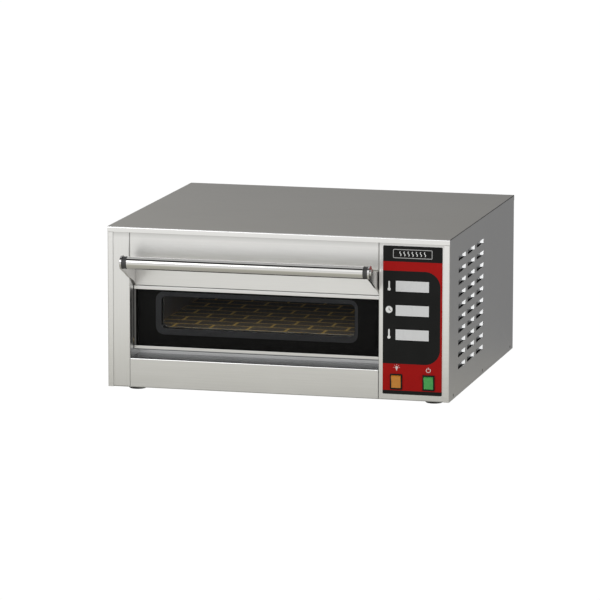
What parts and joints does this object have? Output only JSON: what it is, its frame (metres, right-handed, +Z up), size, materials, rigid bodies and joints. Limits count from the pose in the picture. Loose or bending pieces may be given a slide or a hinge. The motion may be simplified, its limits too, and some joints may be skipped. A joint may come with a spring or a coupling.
{
  "type": "countertop pizza oven",
  "caption": "Stainless countertop pizza oven with a drop-down glazed door, tubular handle, stone deck, side control column with displays and rocker switches, and rubber feet.",
  "frame": {"origin": "on the counter, under the middle of the overall box", "axes": "+Z up, the door and controls face -Y, +X to the right as seen from the front"},
  "size_m": [0.56, 0.5755, 0.27],
  "materials": {
    "casing_steel": "brushed stainless sheet",
    "front_steel": "fine satin stainless sheet",
    "chamber_steel": "heat-toned aluminised sheet",
    "handle_chrome": "polished tube",
    "bracket_steel": "polished plate",
    "black_plastic": "moulded, satin",
    "foot_rubber": "moulded",
    "seal_rubber": "heat-resistant rope seal",
    "overlay_film": "printed polycarbonate film, black and red",
    "display_lens": "light grey window",
    "orange_rocker": "translucent orange",
    "green_rocker": "translucent green",
    "board_laminate": "coated circuit board",
    "black_glass": "tempered, black border print with a clear window",
    "clear_glass": "tempered, clear",
    "deck_stone": "refractory deck with a brick pattern",
    "element_sheath": "oxidised sheath",
    "probe_steel": "bright tube",
    "mineral_wool": "pressed mineral wool slab",
    "bush_brass": "turned",
    "spring_steel": "oiled spring wire",
    "hinge_steel": "black-finished plate",
    "cream_ceramic": "steatite body",
    "bulb_glass": "frosted bulb"
  },
  "bodies": {
    "casing": {"top_cover": "casing_steel", "left_side_panel": "casing_steel", "right_side_panel": "casing_steel", "base_pan": "casing_steel", "rear_panel": "casing_steel", "compartment_partition": "casing_steel", "left_front_pillar": "front_steel", "top_front_panel": "front_steel", "lower_front_panel": "front_steel", "control_fascia": "front_steel", "chamber_front_frame": "front_steel", "chamber_shell": "chamber_steel", "chamber_back_wall": "chamber_steel", "chamber_floor_tray": "chamber_steel", "lamp_housing": "chamber_steel", "light_switch_housing": "black_plastic", "power_switch_housing": "black_plastic", "cable_gland": "black_plastic", "front_left_foot": "foot_rubber", "front_right_foot": "foot_rubber", "rear_left_foot": "foot_rubber", "rear_right_foot": "foot_rubber", "control_overlay": "overlay_film", "upper_heat_display": "display_lens", "timer_display": "display_lens", "lower_heat_display": "display_lens", "control_board": "board_laminate", "lamp_lens": "clear_glass", "stone_deck": "deck_stone", "upper_heating_element": "element_sheath", "lower_heating_element": "element_sheath", "upper_temperature_probe": "probe_steel", "lower_temperature_probe": "probe_steel", "insulation_jacket": "mineral_wool", "insulation_floor": "mineral_wool", "insulation_rear": "mineral_wool", "left_hinge_bush": "bush_brass", "right_hinge_bush": "bush_brass", "left_door_spring": "spring_steel", "right_door_spring": "spring_steel", "terminal_block": "cream_ceramic", "safety_thermostat": "cream_ceramic", "lamp_bulb": "bulb_glass"},
    "door": {"door_outer_panel": "front_steel", "upper_glass_rail": "front_steel", "lower_glass_rail": "front_steel", "door_glass": "black_glass", "window_frame": "front_steel", "inner_glass": "clear_glass", "door_inner_panel": "front_steel", "door_seal": "seal_rubber", "handle_tube": "handle_chrome", "left_hinge_plate": "hinge_steel", "right_hinge_plate": "hinge_steel", "left_handle_bracket": "bracket_steel", "right_handle_bracket": "bracket_steel", "left_handle_collar": "black_plastic", "right_handle_collar": "black_plastic"},
    "light_rocker": {"light_switch_rocker": "orange_rocker"},
    "power_rocker": {"power_switch_rocker": "green_rocker"}
  },
  "joints": [
    {"name": "door_hinge", "type": "hinge", "parent": "casing", "child": "door", "pos_m": [0, -0.19875, 0.0825], "axis": [1, 0, 0], "range_deg": [0, 80], "stiffness_Nm_per_rad": 0.9, "springref_deg": -22.92},
    {"name": "light_switch", "type": "hinge", "parent": "casing", "child": "light_rocker", "pos_m": [0.1944, -0.22475, 0.0401], "axis": [-1, 0, 0], "range_deg": [0, 20]},
    {"name": "power_switch", "type": "hinge", "parent": "casing", "child": "power_rocker", "pos_m": [0.2469, -0.22475, 0.0401], "axis": [-1, 0, 0], "range_deg": [0, 20]}
  ]
}
